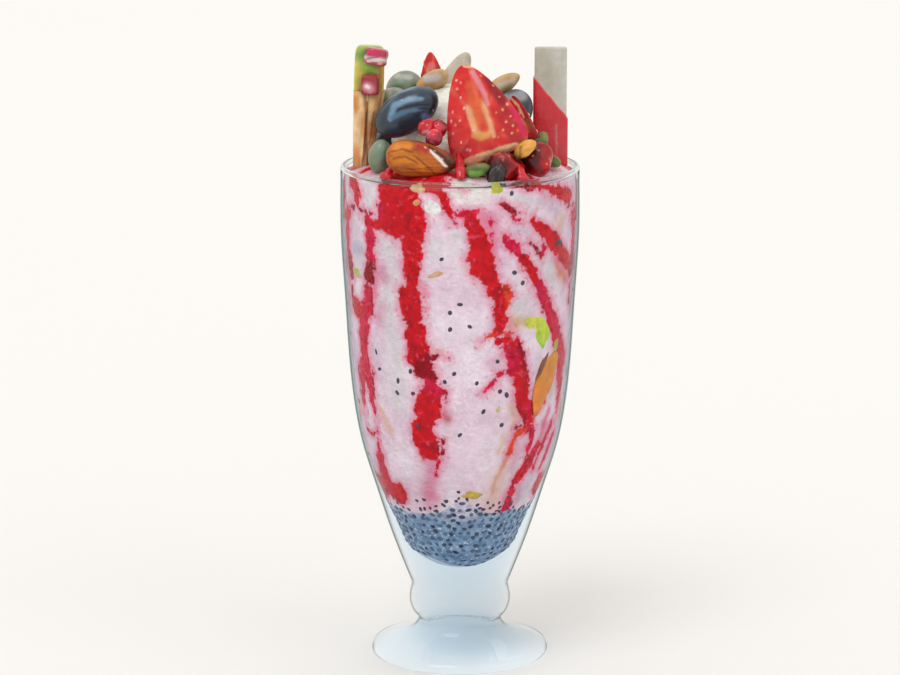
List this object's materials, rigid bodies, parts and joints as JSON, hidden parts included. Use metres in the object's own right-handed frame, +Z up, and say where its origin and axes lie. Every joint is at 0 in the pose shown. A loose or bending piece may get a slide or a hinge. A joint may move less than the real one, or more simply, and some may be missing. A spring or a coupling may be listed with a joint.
{
  "type": "strawberry falooda",
  "caption": "Strawberry falooda in a footed sundae glass: basil seeds, pink milk ice streaked with syrup, vanilla ice, fruit, nuts and wafers heaped on top.",
  "frame": {"origin": "centre of the glass foot's flat underside, on the table", "axes": "+Z up along the glass; -Y is the front, where the cut strawberry faces; +X is the side with the upright wafer finger"},
  "size_m": [0.0854, 0.0854, 0.2228],
  "materials": {
    "clear_glass": "clear and polished, faintly blue where thick",
    "basil_seed": "wet: dark seeds in blue-grey jelly coats",
    "pink_milk_ice": "smooth and matt, streaked with glossy red syrup",
    "vanilla_ice": "matt, slightly rough and melting",
    "strawberry": "moist cut flesh and a shiny seeded skin",
    "almond": "brown skin with fine ridges, lightly glazed",
    "pale_nut": "smooth, pale and matt",
    "pistachio": "green kernel, semi-matt",
    "raisin": "wrinkled, dark and slightly glossy",
    "black_grape": "glossy blue-black skin",
    "green_grape": "waxy grey-green skin",
    "wafer": "dry, baked and matt; one is dipped in glossy strawberry coating",
    "candied_cherry": "syrupy and glossy",
    "yellow_jelly": "clear yellow candied fruit",
    "green_jelly": "yellow-green candied fruit",
    "pink_jelly": "pink candied fruit",
    "pomegranate": "clear red arils, very glossy"
  },
  "bodies": {
    "root": {"glass": "clear_glass", "basil_seeds": "basil_seed", "milk_ice": "pink_milk_ice", "ice_cream_scoop": "vanilla_ice", "strawberry_half_front": "strawberry", "strawberry_slice": "strawberry", "strawberry_half_back": "strawberry", "strawberry_half_rear": "strawberry", "almond_front": "almond", "almond_rear": "almond", "blanched_almond": "pale_nut", "cashew_back": "pale_nut", "cashew_top": "pale_nut", "cashew_rear": "pale_nut", "pistachio_front": "pistachio", "pistachio_right": "pistachio", "pistachio_edge": "pistachio", "pistachio_rear": "pistachio", "raisin_front": "raisin", "raisin_rear": "raisin", "black_grape_front": "black_grape", "black_grape_back": "black_grape", "black_grape_rear": "black_grape", "green_grape_left": "green_grape", "green_grape_back": "green_grape", "green_grape_low": "green_grape", "wafer_cone": "wafer", "wafer_finger": "wafer", "cherry_left": "candied_cherry", "cherry_right": "candied_cherry", "cherry_rear": "candied_cherry", "yellow_jelly": "yellow_jelly", "pink_jelly_rear": "pink_jelly", "cone_jelly_green": "green_jelly", "cone_jelly_red": "candied_cherry", "cone_jelly_pink": "pink_jelly", "pomegranate_front": "pomegranate", "pomegranate_rear": "pomegranate"}
  },
  "joints": []
}
